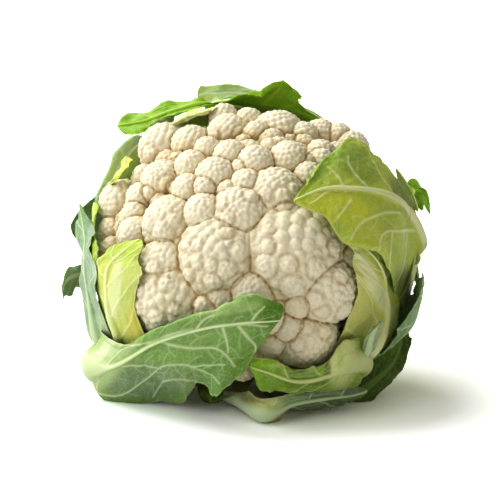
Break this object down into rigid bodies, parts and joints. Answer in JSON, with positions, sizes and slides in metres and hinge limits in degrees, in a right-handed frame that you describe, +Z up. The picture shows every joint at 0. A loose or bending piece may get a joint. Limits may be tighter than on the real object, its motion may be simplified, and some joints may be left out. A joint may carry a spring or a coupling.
{
  "type": "cauliflower",
  "caption": "Whole head of cauliflower, white curd of packed florets in trimmed green leaves, with a short cut stalk.",
  "frame": {"origin": "on the surface the head lies on, under the middle of its box", "axes": "+Z up; the crown leans toward -Y and up, and +X is the viewer's right from the front"},
  "size_m": [0.2152, 0.1872, 0.1755],
  "materials": {
    "curd": "matte, moist",
    "stalk": "smooth, moist cut end",
    "leaf": "waxy"
  },
  "bodies": {
    "root": {"curd": "curd", "stalk": "stalk", "leaf_left_inner": "leaf", "leaf_left_side": "leaf", "leaf_upper_left_inner": "leaf", "leaf_top_inner": "leaf", "leaf_right_inner": "leaf", "leaf_under": "leaf", "leaf_upper_left": "leaf", "leaf_top_left_low": "leaf", "leaf_top_left": "leaf", "leaf_top": "leaf", "leaf_bottom_stub": "leaf", "leaf_right_point": "leaf", "leaf_left_outer": "leaf", "leaf_left_flap": "leaf", "leaf_right": "leaf", "leaf_right_curl": "leaf", "leaf_bottom_right": "leaf", "leaf_front_left": "leaf", "leaf_bottom_front": "leaf", "leaf_top_back": "leaf", "leaf_back_left": "leaf", "leaf_back_right": "leaf", "leaf_back_low": "leaf"}
  },
  "joints": []
}
